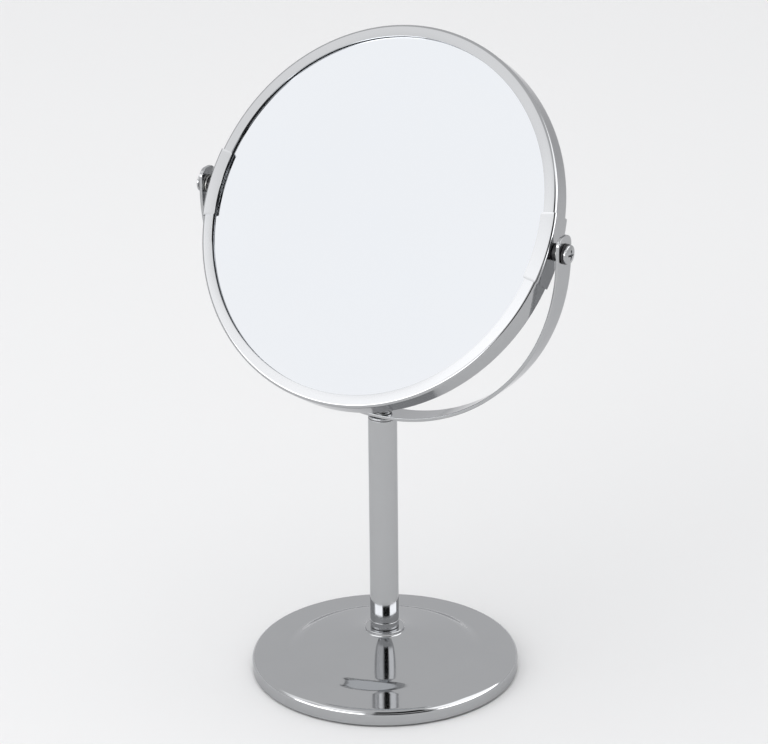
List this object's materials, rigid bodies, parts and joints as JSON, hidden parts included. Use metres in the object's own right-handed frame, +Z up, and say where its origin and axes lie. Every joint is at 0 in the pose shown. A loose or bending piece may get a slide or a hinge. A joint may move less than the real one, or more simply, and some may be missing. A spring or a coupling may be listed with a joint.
{
  "type": "countertop mirror",
  "caption": "Round double-sided countertop mirror in a bright hoop that tilts between the arms of a strip yoke, on a tube stem and a weighted round base.",
  "frame": {"origin": "centre of the underside of the base, on the table", "axes": "+Z up along the stem, +X along the tilt axis towards the right pivot, the plain glass faces -Y and leans back"},
  "size_m": [0.2006, 0.1284, 0.3102],
  "materials": {
    "chrome_plate": "polished chrome plating on steel",
    "mirror_glass": "silvered float glass",
    "zinc_steel": "zinc-plated steel fasteners",
    "cast_weight": "rough black casting",
    "foam": "closed-cell foam",
    "nylon": "moulded black nylon",
    "board": "pressed grey board"
  },
  "bodies": {
    "stand": {"base_shell": "chrome_plate", "base_weight": "cast_weight", "base_pad": "foam", "base_bolt": "zinc_steel", "base_washer": "zinc_steel", "stem_bottom_plug": "chrome_plate", "stem_tube": "chrome_plate", "stem_top_plug": "chrome_plate", "yoke": "chrome_plate", "yoke_lock_washer": "zinc_steel", "yoke_screw": "chrome_plate", "pivot_washer_left": "zinc_steel", "pivot_washer_right": "zinc_steel"},
    "mirror_head": {"hoop_upper": "chrome_plate", "hoop_lower": "chrome_plate", "clip_left": "chrome_plate", "clip_right": "chrome_plate", "front_glass": "mirror_glass", "rear_glass": "mirror_glass", "front_gasket": "foam", "rear_gasket": "foam", "backing_disc": "board", "pivot_spacer_left": "nylon", "pivot_spacer_right": "nylon", "pivot_bush_left": "nylon", "pivot_bush_right": "nylon", "pivot_screw_left": "chrome_plate", "pivot_screw_right": "chrome_plate", "pivot_nut_left": "zinc_steel", "pivot_nut_right": "zinc_steel"}
  },
  "joints": [
    {"name": "mirror_tilt", "type": "hinge", "parent": "stand", "child": "mirror_head", "pos_m": [0, 0, 0.2306], "axis": [1, 0, 0], "continuous": true}
  ]
}
